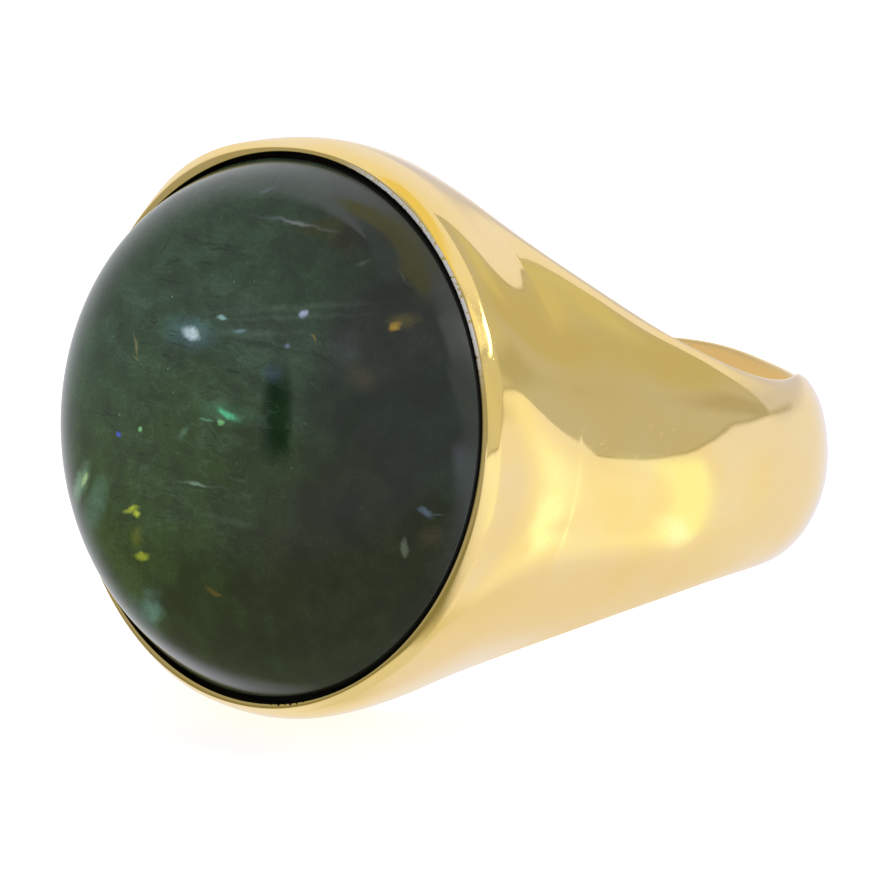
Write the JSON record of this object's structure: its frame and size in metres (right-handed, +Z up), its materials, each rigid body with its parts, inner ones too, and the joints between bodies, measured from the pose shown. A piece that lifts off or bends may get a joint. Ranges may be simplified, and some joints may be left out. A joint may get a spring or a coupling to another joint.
{
  "type": "gemstone finger ring",
  "caption": "Polished gold finger ring with a wide tapering shank and a round domed green stone held in a rim that is part of the ring.",
  "frame": {"origin": "bottom centre of the bounding box, on the surface that the ring lies on, with the ring lying on its side as it rests by itself", "axes": "+Z is up; the head with the stone faces -Y and leans up by 18.9 degrees; +X is across the finger hole, towards the shoulder that the picture shows; the finger axis leans from +Z towards +Y by the same angle"},
  "size_m": [0.0218, 0.0276, 0.0198],
  "materials": {
    "gold": "polished yellow gold",
    "tourmaline": "polished translucent dark green stone"
  },
  "bodies": {
    "root": {"band": "gold", "cabochon": "tourmaline"}
  },
  "joints": []
}
